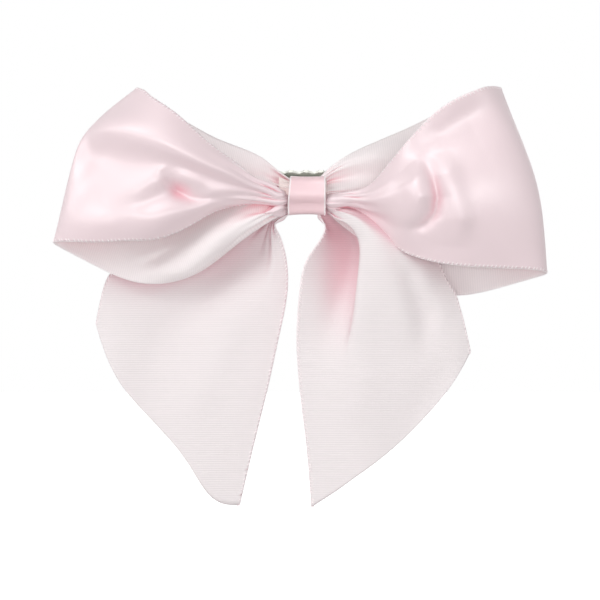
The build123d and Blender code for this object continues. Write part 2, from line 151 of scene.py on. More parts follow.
LEFT_TAIL = (
    ((-2.5, -2.6, -2.6), (-2.5, -3.0, -3.2), (-2.5, -3.0, -3.8), (-2.5, -3.0, -4.4), (-2.5, -2.7, -5.0)),
    ((-6.5, -1.8, -5.0), (-6.9, -1.7, -5.5), (-7.2, -1.6, -6.1), (-7.1, -2.0, -6.7), (-6.7, -2.4, -7.3)),
    ((-11.0, 0.6, -6.8), (-10.7, 1.0, -8.4), (-9.9, 1.1, -9.7), (-8.7, 0.1, -10.4), (-7.6, -1.6, -10.3),
     (-6.1, -1.8, -9.8)),
    ((-17.0, 2.4, -9.0), (-14.8, 2.6, -11.4), (-12.0, 2.5, -13.4), (-9.4, 1.5, -14.4), (-7.2, -0.6, -14.4),
     (-4.8, -0.8, -13.6)),
    ((-28.0, 2.8, -13.0), (-23.6, 2.6, -17.8), (-17.8, 2.3, -21.6), (-12.6, 1.4, -23.4), (-8.6, 0.5, -23.8),
     (-4.2, 0.0, -22.6)),
    ((-38.5, 2.6, -16.6), (-32.2, 1.9, -24.6), (-24.6, 2.0, -30.8), (-18.0, 1.2, -33.8),
     (-12.0, 0.8, -34.4),
     (-6.2, 0.5, -33.2)),
    ((-43.8, 2.2, -19.0), (-38.6, 1.3, -30.2), (-30.6, 1.8, -39.4), (-23.0, 1.1, -44.6),
     (-15.8, 0.7, -46.2),
     (-8.7, 0.8, -44.7)),
    ((-45.8, 2.0, -24.8), (-41.8, 1.0, -37.0), (-34.0, 1.8, -47.4), (-26.4, 0.8, -54.2),
     (-18.8, 0.7, -57.6),
     (-11.7, 1.0, -57.0)),
    ((-46.8, 2.0, -29.8), (-42.3, 0.9, -41.4), (-34.4, 1.8, -51.2), (-26.0, 0.7, -61.2),
     (-18.6, 0.9, -69.8),
     (-14.8, 1.2, -70.2)),
)
# Its right part is folded over in front of its left part, from the knot to a third of the way down.
RIGHT_TAIL = (
    ((2.6, -4.2, -1.8), (2.6, -4.6, -2.6), (2.6, -4.7, -3.3), (2.6, -4.6, -4.0), (2.6, -4.2, -4.8)),
    ((5.0, -4.6, -2.9), (5.3, -5.6, -3.3), (5.4, -6.3, -4.1), (5.3, -6.2, -5.2), (5.0, -5.2, -5.9),
     (4.6, -4.2, -5.7), (4.0, -3.8, -5.6), (3.6, -4.2, -5.9), (3.4, -4.6, -6.4)),
    ((10.6, -5.0, -4.4), (10.4, -7.4, -4.8), (10.1, -8.8, -5.8), (9.5, -8.9, -6.8), (8.5, -7.6, -7.4),
     (8.9, -4.2, -7.2), (7.3, -1.0, -7.8), (5.6, -2.6, -8.6), (4.3, -4.6, -8.6)),
    ((17.0, -4.6, -7.6), (16.4, -7.4, -8.4), (15.0, -9.1, -9.4), (13.2, -9.3, -10.3), (11.5, -8.0, -10.8),
     (12.6, -4.0, -10.8), (10.4, 0.6, -11.6), (6.4, -1.4, -12.4), (2.7, -4.6, -12.0)),
    ((23.5, -4.0, -10.8), (21.8, -6.9, -12.6), (18.6, -8.7, -14.2), (15.0, -9.0, -15.3),
     (11.9, -7.8, -15.8),
     (13.1, -3.4, -16.0), (10.8, 0.9, -17.0), (5.2, -1.4, -17.4), (0.0, -4.6, -16.2)),
    ((28.4, -3.7, -14.6), (25.8, -6.3, -17.4), (21.2, -8.0, -19.8), (15.6, -8.2, -21.4),
     (11.2, -7.0, -22.0),
     (11.9, -4.0, -22.2), (9.4, -0.6, -23.0), (4.0, -2.4, -23.4), (-1.3, -4.6, -22.4)),
    ((30.8, -3.6, -19.2), (27.6, -5.6, -23.6), (22.0, -6.9, -27.2), (15.2, -7.0, -29.4),
     (10.2, -6.0, -30.2),
     (9.8, -4.6, -30.5), (7.0, -2.8, -31.0), (2.6, -3.3, -31.2), (-1.9, -4.3, -30.6)),
    ((32.8, -3.6, -22.6), (30.0, -5.0, -28.6), (23.6, -5.8, -33.6), (15.6, -6.0, -36.8), (9.4, -5.5, -38.0),
     (8.2, -5.1, -38.2), (5.6, -4.4, -38.4), (2.2, -4.1, -38.4), (-1.8, -4.1, -37.6)),
    ((33.9, -3.6, -25.6), (31.4, -4.7, -32.2), (26.2, -5.3, -38.6), (18.6, -5.4, -43.8),
     (11.4, -5.4, -46.6),
     (8.8, -5.1, -47.1), (5.6, -4.7, -47.5), (2.4, -4.3, -47.7), (-0.9, -4.2, -47.6)),
    ((34.8, -3.6, -28.8), (32.8, -4.6, -36.2), (27.6, -4.6, -43.6), (19.8, -4.6, -50.4),
     (12.4, -5.0, -54.4),
     (9.6, -4.9, -55.3), (6.4, -4.7, -56.0), (3.3, -4.4, -56.4), (0.2, -4.1, -56.6)),
    ((36.4, -3.6, -35.9), (33.4, -4.6, -41.4), (27.4, -4.4, -49.2), (19.6, -4.1, -57.0),
     (13.0, -4.9, -62.2),
     (10.2, -4.9, -64.2), (7.2, -4.6, -66.4), (4.2, -4.3, -68.4), (1.3, -4.0, -70.3)),
)

# Creases and ridges: a path of (x, z, push) points seen from the front, and the widths on its left
# and on its right for someone who walks along it. A positive push comes towards the front.
LEFT_FRONT_FOLDS = (
    (((-5.0, -2.4, 0), (-9.0, -2.0, -0.5), (-15.0, -1.6, -0.8), (-20.5, -2.0, -0.9),
      (-26.0, -2.4, 0)), (1.0, 0.8)),
    (((-31.6, 4.0, 0), (-30.2, 1.8, -2.2), (-28.2, -0.4, -3.0), (-25.6, -1.9, -1.7),
      (-21.0, -2.6, 0)), (2.6, 1.5)),
    (((-50.0, -4.0, 0), (-42.0, -4.6, -0.7), (-35.0, -3.0, -1.0), (-30.0, -1.0, 0)), (2.6, 2.6)),
)
RIGHT_FRONT_FOLDS = (
    (((21.5, 4.0, 0), (23.6, 1.8, 1.5), (24.5, -2.0, 2.1), (23.2, -5.4, 1.3), (20.6, -8.0, 0)), (2.2, 2.8)),
    (((24.6, 7.4, 0), (26.2, 5.2, -1.0), (27.8, 1.4, -2.0), (28.5, -2.0, -2.4), (28.0, -5.6, -2.2),
      (25.6, -8.0, -1.5), (21.5, -9.2, 0)), (1.5, 1.0)),
    (((29.6, 8.0, 0), (30.6, 3.0, 1.5), (32.0, -2.0, 1.3), (33.4, -7.0, 1.6), (32.6, -13.0, 0)),
      (2.8, 7.0)),
    (((48.0, 20.0, 0), (41.5, 17.6, -1.2), (35.5, 14.8, -2.4), (29.5, 10.8, -2.8), (24.5, 6.6, -1.8),
      (19.5, 3.4, 0)),
     (9.0, 4.6)),
    (((5.0, -2.6, 0), (9.0, -2.9, -0.7), (13.6, -4.4, -1.3), (17.5, -7.0, -1.3), (21.0, -10.4, 0)),
      (1.6, 1.0)),
)
LEFT_BACK_FOLDS = (
    (((-39.5, -17.6, 0.0), (-33.5, -15.4, -1.0), (-28.0, -12.6, 0)), (0.8, 1.8)),
)
RIGHT_BACK_FOLDS = ()
LEFT_TAIL_FOLDS = (
    (((-11.0, -15.0, 0), (-16.0, -28.0, 0.8), (-23.0, -44.0, 0.7), (-30.0, -56.0, 0)), (4.5, 4.5)),
    (((-10.0, -9.0, 0), (-20.0, -17.0, -0.9), (-31.0, -32.0, -0.7), (-38.0, -44.0, 0.0)), (4.5, 4.5)),
)
RIGHT_TAIL_FOLDS = (
    (((17.0, -12.0, 0), (22.5, -19.0, -1.1), (26.0, -28.0, -1.3), (27.0, -40.0, 0)), (2.6, 2.6)),
    (((10.0, -33.0, 0), (12.0, -42.0, 0.6), (10.0, -54.0, 0)), (4.0, 4.0)),
)


def chord(points):
    """Distance along a line of points, from its first point to each of them."""
    return np.concatenate(([0.0], np.cumsum(np.linalg.norm(np.diff(points, axis=0), axis=-1))))


def spline(values, knots, where):
    """Natural cubic spline through values, which stand at knots, read at each place in where."""
    count = len(knots)
    gaps = np.diff(knots)
    matrix = np.eye(count)
    right = np.zeros((count, values.shape[1]))
    for i in range(1, count - 1):
        matrix[i, i - 1 : i + 2] = gaps[i - 1], 2 * (gaps[i - 1] + gaps[i]), gaps[i]
        right[i] = 6 * ((values[i + 1] - values[i]) / gaps[i] - (values[i] - values[i - 1]) / gaps[i - 1])
    bend = np.linalg.solve(matrix, right)
    k = np.clip(np.searchsorted(knots, where, side="right") - 1, 0, count - 2)
    h = gaps[k][:, None]
    a = (knots[k + 1] - where)[:, None] / h
    b = 1 - a
    curve = (a**3 - a) * bend[k] + (b**3 - b) * bend[k + 1]
    return a * values[k] + b * values[k + 1] + curve * h * h / 6


def row_line(row, count):
    """count points along the smooth line through a row, as many between each pair of its points."""
    points = np.array(row, float)
    knots = chord(points)
    where = np.interp(np.linspace(0, len(row) - 1, count), np.arange(len(row)), knots)
    return spline(points, knots, where)


def surface(rows, across):
    """A grid of points (along, across, 3) through the rows, about CELL apart along the ribbon."""
    lines = np.array([row_line(row, across) for row in rows])
    steps = np.linalg.norm(np.diff(lines, axis=0), axis=2).mean(axis=1)
    knots = np.concatenate(([0.0], np.cumsum(steps)))
    along = int(knots[-1] / CELL)
    flat = lines.reshape(len(rows), -1)
    dense = spline(flat, knots, np.linspace(0, knots[-1], 4 * along)).reshape(4 * along, across, 3)
    arc = chord(dense[:, across // 2])
    even = np.linspace(0, arc[-1], along)
    pick = np.interp(even, arc, np.arange(4 * along))
    low = np.minimum(pick.astype(int), 4 * along - 2)
    part = (pick - low)[:, None, None]
    return dense[low] * (1 - part) + dense[low + 1] * part


def press(grid, folds, rows):
    """Pushes the chosen rows of the grid to and fro along Y by each fold's path, push and widths."""
    area = grid[rows]
    flat = area[..., [0, 2]]
    for path, (left_width, right_width) in folds:
        nearest = np.full(flat.shape[:2], 1e9)
        push = np.zeros(flat.shape[:2])
        width = np.full(flat.shape[:2], left_width)
        for (x0, z0, p0), (x1, z1, p1) in zip(path[:-1], path[1:]):
            start = np.array((x0, z0))
            leg = np.array((x1 - x0, z1 - z0))
            t = np.clip(((flat - start) @ leg) / (leg @ leg), 0, 1)
            gap = flat - start - t[..., None] * leg
            away = np.linalg.norm(gap, axis=-1)
            on_left = leg[0] * (flat[..., 1] - z0) - leg[1] * (flat[..., 0] - x0) > 0
            closer = away < nearest
            nearest = np.where(closer, away, nearest)
            push = np.where(closer, p0 + (p1 - p0) * t, push)
            width = np.where(closer, np.where(on_left, left_width, right_width), width)
        area[..., 1] -= push * np.exp(-((nearest / width) ** 2))
    grid[rows] = area


def gather(line, pleats, depth, reach, seed):
    """Pleats that run out from the knot, at the grid's first row, each to its own reach.

    They stand out along the cloth's normal, so that cloth of any slope gains area from them.
    """
    rng = np.random.default_rng(seed)
    v = np.linspace(0, 1, line.shape[1])
    away = chord(line[:, line.shape[1] // 2])[:, None]
    height = np.zeros(line.shape[:2])
    for k in range(pleats):
        middle = (k + 0.5 + rng.uniform(-0.2, 0.2)) / pleats
        long = reach * rng.uniform(0.6, 1.3)
        fade = np.exp(-((away / long) ** 2)) * np.clip((away - 1.5) / 2.0, 0, 1)
        width = 0.30 / pleats * rng.uniform(0.8, 1.2)
        height += depth * rng.uniform(0.7, 1.3) * fade * np.exp(-(((v - middle) / width) ** 2))
    out = normals(line)
    line += height[..., None] * out * np.sign(out[..., 1].mean())


def smooth(grid, rounds):
    """Softens the folded grid a little, with its edges held."""
    for _ in range(rounds):
        inner = grid[1:-1, 1:-1]
        near = grid[:-2, 1:-1] + grid[2:, 1:-1] + grid[1:-1, :-2] + grid[1:-1, 2:]
        grid[1:-1, 1:-1] = 0.5 * inner + 0.125 * near


def normals(grid):
    """Unit normals of the grid."""
    along = np.gradient(grid, axis=0)
    across = np.gradient(grid, axis=1)
    n = np.cross(along, across)
    return n / np.maximum(np.linalg.norm(n, axis=-1, keepdims=True), 1e-9)


def sheet_object(name, grid, materials, flip, hanging=False):
    """A mesh of the grid with real thickness: the first material on its face side, the second behind.

    Its UV is in metres along and across the ribbon. A hanging sheet's ribs all lie level.
    """
    rows, columns, _ = grid.shape
    verts = grid.reshape(-1, 3) * MM
    base = (np.arange(rows - 1)[:, None] * columns + np.arange(columns - 1)[None, :]).ravel()
    quads = np.stack([base, base + 1, base + columns + 1, base + columns], axis=1)
    if flip:
        quads = quads[:, ::-1]
    mesh = bpy.data.meshes.new(name)
    mesh.from_pydata(verts.tolist(), [], quads.tolist())
    along = chord(grid[:, columns // 2])
    across = np.array([chord(row) / chord(row)[-1] for row in grid]) * RIBBON_WIDTH
    uv = np.stack(np.broadcast_arrays(along[:, None], across), -1)
    if hanging:
        uv = grid[..., [2, 0]]
    layer = mesh.uv_layers.new(name="ribbon")
    loops = np.empty(len(mesh.loops), int)
    mesh.loops.foreach_get("vertex_index", loops)
    layer.data.foreach_set("uv", (uv.reshape(-1, 2)[loops] * MM).ravel())
    mesh.polygons.foreach_set("use_smooth", [True] * len(mesh.polygons))
    for material in materials:
        mesh.materials.append(material)
    piece = bpy.data.objects.new(name, mesh)
    bpy.context.collection.objects.link(piece)
    thick = piece.modifiers.new("cloth", "SOLIDIFY")
    thick.thickness = CLOTH * MM
    thick.offset = 0
    thick.material_offset = 1
    thick.material_offset_rim = 1
    return piece


# ------------------------------------------------------------------ materials
def new_material(name, colour, roughness):
    """A material and its Principled shader."""
    material = bpy.data.materials.new(name)
    material.use_nodes = True
    shader = material.node_tree.nodes["Principled BSDF"]
    shader.inputs["Base Color"].default_value = (*colour, 1)
    shader.inputs["Roughness"].default_value = roughness
    return material, shader


def add(material, kind, **values):
    """A new node, with its named inputs set or linked."""
    node = material.node_tree.nodes.new(kind)
    for key, value in values.items():
        if key.startswith("_"):
            setattr(node, key[1:], value)
            continue
        socket = node.inputs[int(key[2:])] if key.startswith("in") else node.inputs[key.replace("_", " ")]
        if isinstance(value, bpy.types.NodeSocket):
            material.node_tree.links.new(value, socket)
        else:
            socket.default_value = value
    return node


def painted_fold_shade(material, pale, shade_colour_in_folds, reach, full=0.10, none=0.92, own=False):
    """Painted shade in folds: the pale colour where the cloth is open to the light, going to a painted
    shade colour where ambient occlusion finds a fold.

    full and none are the shares of open sky at which the painted shade colour is whole and gone. With own,
    only the piece itself is looked at, so that the stitches laid on it don't colour it.
    """
    depth = add(material, "ShaderNodeAmbientOcclusion", _samples=6, _only_local=own, Distance=reach)
    curve = add(material, "ShaderNodeMapRange", _interpolation_type="SMOOTHSTEP", in0=depth.outputs["AO"],
                in1=full, in2=none)
    mix = add(material, "ShaderNodeMix", _data_type="RGBA")
    material.node_tree.links.new(curve.outputs[0], mix.inputs["Factor"])
    mix.inputs["A"].default_value = (*shade_colour_in_folds, 1)
    mix.inputs["B"].default_value = (*pale, 1)
    return mix.outputs["Result"]


def weave_height(material, pitch, uneven):
    """Height of the ribs that run across the ribbon, with slightly uneven threads."""
    place = add(material, "ShaderNodeUVMap", _uv_map="ribbon")
    ribs = add(material, "ShaderNodeTexWave", _bands_direction="X", Scale=math.pi / (10 * pitch * MM),
               Distortion=uneven, Detail=2.0, Vector=place.outputs[0])
    ribs.inputs["Detail Scale"].default_value = 3.0
    return ribs


PALE = (0.855, 0.69, 0.72)
# painted shade colour that the satin goes to down in its creases and folds
PAINTED_CREASE_SHADE = (0.86, 0.36, 0.43)


def satin_material(name, pale):
    """The face of single-faced satin: soft gloss drawn out across the ribbon by its long floats, with
    painted shade in its creases.
    """
    material, shader = new_material(name, pale, 0.41)
    # painted shade: the satin darkens to a deep pink in its own creases and folds
    painted_fold_colour = painted_fold_shade(material, pale, PAINTED_CREASE_SHADE, 0.007, 0.08, 0.83, own=True)
    material.node_tree.links.new(painted_fold_colour, shader.inputs["Base Color"])
    shader.inputs["Anisotropic"].default_value = 0.45
    shader.inputs["Sheen Weight"].default_value = 0.15
    shader.inputs["Sheen Roughness"].default_value = 0.5
    shader.inputs["Specular IOR Level"].default_value = 1.0
    shader.inputs["IOR"].default_value = 1.68
    tangent = add(material, "ShaderNodeTangent", _direction_type="UV_MAP", _uv_map="ribbon")
    material.node_tree.links.new(tangent.outputs[0], shader.inputs["Tangent"])
    ribs = weave_height(material, 0.40, 0.4)
    bump = add(material, "ShaderNodeBump", Strength=0.08, Distance=0.00005, Height=ribs.outputs["Fac"])
    material.node_tree.links.new(bump.outputs[0], shader.inputs["Normal"])
    return material


def dull_material(name, pale, shade_colour_in_folds, fold_shade_range, own):
    """The ribbed reverse of the satin: matt, with a fine weft rib every half millimetre, painted shade in
    its folds and painted shade in the grooves between its ribs.
    """
    material, shader = new_material(name, pale, 0.62)
    painted_fold_colour = painted_fold_shade(material, pale, shade_colour_in_folds, *fold_shade_range, own=own)
    ribs = weave_height(material, 0.5, 0.5)
    # painted shade on the ribs: the colour is darker in the grooves and lighter on the rib tops
    painted_rib_shade = add(material, "ShaderNodeMapRange", in0=ribs.outputs["Fac"], in3=0.955, in4=1.015)
    shade = add(material, "ShaderNodeVectorMath", _operation="SCALE", in0=painted_fold_colour)
    material.node_tree.links.new(painted_rib_shade.outputs[0], shade.inputs["Scale"])
    material.node_tree.links.new(shade.outputs[0], shader.inputs["Base Color"])
    shader.inputs["Sheen Weight"].default_value = 0.2
    bump = add(material, "ShaderNodeBump", Strength=0.16, Distance=0.00010, Height=ribs.outputs["Fac"])
    material.node_tree.links.new(bump.outputs[0], shader.inputs["Normal"])
    return material


def thread_material():
    """Bound edge and stitches of the selvage, with painted shade where they lie close against the ribbon.
    """
    material, shader = new_material("selvage_thread", (0.96, 0.86, 0.875), 0.5)
    # painted shade: the thread goes pinker where the ribbon closes round it
    painted_fold_colour = painted_fold_shade(material, (0.96, 0.88, 0.89), (0.95, 0.76, 0.79), 0.002)
    material.node_tree.links.new(painted_fold_colour, shader.inputs["Base Color"])
    shader.inputs["Sheen Weight"].default_value = 0.3
    return material


def bundle_material():
    """The crushed ribbon in the knot: its peach colour is painted light that stands for light coming
    through it, with painted shade in its pleats.
    """
    material, shader = new_material("crushed_ribbon", (0.97, 0.86, 0.83), 0.6)
    # painted shade in the pleats of the crushed ribbon, over its painted peach light
    painted_fold_colour = painted_fold_shade(material, (0.98, 0.87, 0.84), (0.96, 0.72, 0.69), 0.002)
    material.node_tree.links.new(painted_fold_colour, shader.inputs["Base Color"])
    shader.inputs["Sheen Weight"].default_value = 0.3
    return material


def glue_material():
    """Hot-melt glue, milky and a little glossy."""
    material, shader = new_material("hot_melt_glue", (0.86, 0.84, 0.78), 0.3)
    shader.inputs["Subsurface Weight"].default_value = 0.4
    shader.inputs["Subsurface Radius"].default_value = (1.0, 0.9, 0.7)
    shader.inputs["Subsurface Scale"].default_value = 0.001
    return material


def steel_material(name, colour, metallic):
    """Nickel-plated sheet steel or wire with a brushed grain along the clip."""
    material, shader = new_material(name, colour, 0.34)
    shader.inputs["Metallic"].default_value = metallic
    place = add(material, "ShaderNodeTexCoord")
    stretch = add(material, "ShaderNodeMapping", Vector=place.outputs["Object"])
    stretch.inputs["Scale"].default_value = (120, 2500, 2500)
    grain = add(material, "ShaderNodeTexNoise", Vector=stretch.outputs[0], Scale=1.0, Detail=3.0)
    rough = add(material, "ShaderNodeMapRange", in0=grain.outputs["Fac"], in3=0.30, in4=0.50)
    material.node_tree.links.new(rough.outputs[0], shader.inputs["Roughness"])
    bump = add(material, "ShaderNodeBump", Strength=0.12, Distance=0.00003, Height=grain.outputs["Fac"])
    material.node_tree.links.new(bump.outputs[0], shader.inputs["Normal"])
    return material


SATIN = satin_material("satin", PALE)
# A darker, pinker copy of the satin: painted shade on the wrap round the knot.
WRAP_SATIN_PAINTED_SHADE = satin_material("wrap_satin_painted_shade", (0.86, 0.60, 0.635))
# The loops' reverse: a lighter copy of the dull side, painted light that stands for light coming through
# the satin in front of it, with painted shade in its folds.
LOOP_REVERSE_PAINTED_LIGHT = dull_material("dull_reverse", (0.95, 0.875, 0.88), (0.95, 0.55, 0.60), (0.014, 0.10, 0.85), True)
# The tails' reverse: a darker copy of the dull side, with painted shadow where the loops' rolled edges and
# the knot hang over the tails, found by occlusion from every piece.
TAIL_REVERSE_PAINTED_SHADOW = dull_material("dull_reverse_of_tails", (0.85, 0.79, 0.795), (0.80, 0.51, 0.56),
                             (0.018, 0.25, 0.94), False)
THREAD = thread_material()
BUNDLE_PAINTED_BACKLIGHT = bundle_material()
GLUE = glue_material()
STEEL = steel_material("plated_steel", (0.82, 0.85, 0.78), 0.25)
SPRING_STEEL = steel_material("spring_wire", (0.60, 0.60, 0.58), 0.9)


# ------------------------------------------------------------------ the bow
def mesh_object(name, verts, faces, material):
    """A smooth-shaded object from points in millimetres."""
    mesh = bpy.data.meshes.new(name)
    mesh.from_pydata([tuple(v) for v in np.asarray(verts) * MM], [], faces)
    mesh.polygons.foreach_set("use_smooth", [True] * len(mesh.polygons))
    mesh.materials.append(material)
    piece = bpy.data.objects.new(name, mesh)
    bpy.context.collection.objects.link(piece)
    return piece


def tube(line, radius, sides):
    """Points and faces of a round rod along a line, with closed ends."""
    line = np.asarray(line, float)
    run = np.gradient(line, axis=0)
    run /= np.linalg.norm(run, axis=1, keepdims=True)
    side = np.cross(run[0], (0.3, 0.5, 0.8))
    verts, faces = [], []
    for k, point in enumerate(line):
        side = side - (side @ run[k]) * run[k]
        side /= np.linalg.norm(side)
        other = np.cross(run[k], side)
        for a in np.linspace(0, 2 * math.pi, sides, endpoint=False):
            verts.append(point + radius * (math.cos(a) * side + math.sin(a) * other))
    for k in range(len(line) - 1):
        for j in range(sides):
            a, b = k * sides + j, k * sides + (j + 1) % sides
            faces.append((a, b, b + sides, a + sides))
    faces.append(tuple(reversed(range(sides))))
    faces.append(tuple(range(len(verts) - sides, len(verts))))
    return verts, faces


def selvage(name, grid, side):
    """The bound edges of a sheet: a fine cord with slanted stitches over it, at both selvages."""
    verts, faces = [], []
    ring = 6
    turns = np.linspace(0, 2 * math.pi, ring, endpoint=False)
    facing = normals(grid) * side
    for edge in (0, -1):
        line = grid[:, edge]
        inward = grid[:, 2 if edge == 0 else -3] - line
        inward /= np.linalg.norm(inward, axis=1, keepdims=True)
        out = facing[:, edge]
        run = np.gradient(line, axis=0)
        run /= np.linalg.norm(run, axis=1, keepdims=True)
        # the cord
        start = len(verts)
        for k in range(len(line)):
            for a in turns:
                verts.append(line[k] + CORD_R * (math.cos(a) * inward[k] + math.sin(a) * out[k]))
        for k in range(len(line) - 1):
            for j in range(ring):
                a, b = start + k * ring + j, start + k * ring + (j + 1) % ring
                faces.append((a, b, b + ring, a + ring))
        # the stitches
        arc = chord(line)
        for s in np.arange(STITCH_PITCH / 2, arc[-1], STITCH_PITCH):
            k = min(int(np.searchsorted(arc, s)), len(line) - 1)
            lean = 0.8 * inward[k] + 0.55 * run[k]
            lean /= np.linalg.norm(lean)
            other = np.cross(lean, out[k])
            middle = line[k] + 0.28 * STITCH_LENGTH * inward[k] + 0.5 * CLOTH * out[k]
            start = len(verts)
            for t, r in ((-1, 0.3), (-0.6, 0.85), (0, 1), (0.6, 0.85), (1, 0.3)):
                for a in turns:
                    spoke = math.cos(a) * other + math.sin(a) * out[k] * STITCH_RISE
                    verts.append(middle + lean * t * STITCH_LENGTH / 2 + STITCH_R * r * spoke)
            for m in range(4):
                for j in range(ring):
                    a, b = start + m * ring + j, start + m * ring + (j + 1) % ring
                    faces.append((a, a + ring, b + ring, b))
            faces.append(tuple(start + j for j in range(ring)))
            faces.append(tuple(start + 4 * ring + j for j in reversed(range(ring))))
    return mesh_object(name, verts, faces, THREAD)


def fold_row(grid):
    """Index of the row where a loop turns round at its outer end."""
    return int(np.argmax(np.abs(grid[:, grid.shape[1] // 2, 0])))


def folded(rows, front_folds, back_folds, pleats, seed, back_depths=None):
    """A sheet's grid with its folds. A loop, unlike a tail, has a back half that ends at the knot too.

    back_depths are the depths of the coarse and the fine pleats where that back half ends.
    """
    grid = surface(rows, int(RIBBON_WIDTH / CELL) + 1)
    is_loop = back_folds is not None
    turn = fold_row(grid) if is_loop else len(grid)
    press(grid, front_folds, slice(0, turn - 2))
    gather(grid, pleats, 1.1, 12.0, seed)
    gather(grid, 2 * pleats, 1.3, 5.0, seed + 10)
    if is_loop:
        press(grid, back_folds, slice(turn + 2, None))
        gather(grid[::-1], pleats, back_depths[0], 10.0, seed + 30)
        gather(grid[::-1], 2 * pleats, back_depths[1], 6.0, seed + 20)
    smooth(grid, 4)
    return grid


left = folded(LEFT_LOOP, LEFT_FRONT_FOLDS, LEFT_BACK_FOLDS, 5, 1, (2.8, 1.9))
right = folded(RIGHT_LOOP, RIGHT_FRONT_FOLDS, RIGHT_BACK_FOLDS, 5, 2, (0.0, 0.6))
tail_l = folded(LEFT_TAIL, LEFT_TAIL_FOLDS, None, 5, 3)
tail_r = folded(RIGHT_TAIL, RIGHT_TAIL_FOLDS, None, 4, 4)

SHEETS = (
    ("left_loop", left, True, ("left_loop_front", "left_loop_back"), (SATIN, LOOP_REVERSE_PAINTED_LIGHT)),
    ("right_loop", right, False, ("right_loop_front", "right_loop_back"), (SATIN, LOOP_REVERSE_PAINTED_LIGHT)),
    ("left_tail_ribbon", tail_l, True, ("left_tail",), (TAIL_REVERSE_PAINTED_SHADOW, SATIN)),
    ("right_tail_ribbon", tail_r, False, ("right_tail",), (TAIL_REVERSE_PAINTED_SHADOW, SATIN)),
)
for name, grid, flip, nodes, faces in SHEETS:
    piece = sheet_object(name, grid, faces, flip, hanging=len(nodes) == 1)
    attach(piece, "bow")
    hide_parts(*nodes)
    edge = selvage(name + "_selvage", grid, 1 if flip else -1)
    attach(edge, "bow")

# ------------------------------------------------------------------ centre wrap
# The narrow ribbon's path round the bundle, (y, z) seen from the side: it starts behind, goes over the
# top, down the front, which leans back below its middle, and laps over its own start.
WRAP_PATH = ((-2.0, -0.2), (-1.9, 1.2), (-2.5, 2.3), (-4.4, 2.62), (-6.9, 2.6), (-8.3, 2.0), (-8.9, 0.6),
             (-9.1, -1.0), (-8.9, -2.0), (-7.8, -3.2), (-7.2, -4.4), (-6.8, -5.3), (-5.4, -5.62),
              (-3.7, -5.62),
             (-2.2, -5.1), (-1.6, -3.6), (-1.5, -1.4), (-1.45, 0.8))
WRAP_LEFT = -3.8
WRAP_RIGHT = 4.15
WRAP_TAPER = 0.09  # how much the left edge comes in for each millimetre up
WRAP_SINK_FRONT = 0.28  # how far its middle sinks between its edges
WRAP_SINK_BELOW = 0.22
WRAP_SINK_ABOVE = 0.1
WRAP_CORD_R = 0.2

path = np.array(WRAP_PATH)
path_knots = chord(path)
path_line = spline(path, path_knots, np.linspace(0, path_knots[-1], 120))
wrap_across = np.linspace(0, 1, 29)
wrap = np.zeros((len(path_line), len(wrap_across), 3))
for i, (y, z) in enumerate(path_line):
    left_edge = WRAP_LEFT + WRAP_TAPER * max(0.0, z + 3.0)
    wrap[i, :, 0] = left_edge + (WRAP_RIGHT - left_edge) * wrap_across
    saddle = (2 * wrap_across - 1) ** 2
    wrap[i, :, 1] = y + (WRAP_SINK_FRONT * (1 - saddle) if y < -4.5 else 0)
    wrap[i, :, 2] = z + (WRAP_SINK_BELOW if z < -3 else -WRAP_SINK_ABOVE if z > 1.5 else 0.0) * (1 - saddle)
smooth(wrap, 3)
wrap_piece = sheet_object("centre_wrap_ribbon", wrap, (WRAP_SATIN_PAINTED_SHADE, WRAP_SATIN_PAINTED_SHADE), False)
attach(wrap_piece, "bow")
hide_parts("centre_wrap")
edge_verts, edge_faces = [], []
for side in (0, -1):
    verts, faces = tube(wrap[:, side], WRAP_CORD_R, 8)
    edge_faces += [tuple(i + len(edge_verts) for i in face) for face in faces]
    edge_verts += verts
wrap_edges = mesh_object("centre_wrap_selvage", edge_verts, edge_faces, THREAD)
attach(wrap_edges, "bow")

# The ribbon crushed together inside the wrap, which shows at its left as a pleated throat.
BUNDLE_LEFT = -6.0
BUNDLE_RIGHT = 4.6
BUNDLE_Y = -4.3
BUNDLE_Z = -1.5
HALF_DEPTH = 1.9
HALF_HEIGHT = 3.0
FLARE_START = 3.4  # from here outwards it opens into the loops

verts, faces = [], []
stations = np.linspace(BUNDLE_LEFT, BUNDLE_RIGHT, 50)
around = np.linspace(0, 2 * math.pi, 180, endpoint=False)
for x in stations:
    flare = max(0.0, abs(x) - FLARE_START) / 2.6
    for a in around:
        pleat = 0.12 * math.sin(13 * a + 0.25 * x) + 0.06 * math.sin(29 * a - 0.4 * x)
        half_depth = HALF_DEPTH - 0.9 * flare + pleat
        half_height = HALF_HEIGHT + pleat + (1.1 * flare if math.sin(a) > 0 else 0.2 * flare)
        verts.append((x, BUNDLE_Y + half_depth * math.cos(a), BUNDLE_Z + half_height * math.sin(a)))
for k in range(len(stations) - 1):
    for j in range(len(around)):
        a, b = k * len(around) + j, k * len(around) + (j + 1) % len(around)
        faces.append((a, b, b + len(around), a + len(around)))
faces.append(tuple(reversed(range(len(around)))))
faces.append(tuple(range(len(verts) - len(around), len(verts))))
bundle = mesh_object("gathered_ribbon", verts, faces, BUNDLE_PAINTED_BACKLIGHT)
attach(bundle, "bow")
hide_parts("gathered_centre")

# ------------------------------------------------------------------ clip
for name, material in (("gathering_thread", THREAD), ("glue_pad", GLUE), ("clip_upper_jaw", STEEL),
                       ("clip_lower_jaw", STEEL), ("clip_pin", STEEL)):
    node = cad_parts[name]
    node.data.materials.clear()
    node.data.materials.append(material)

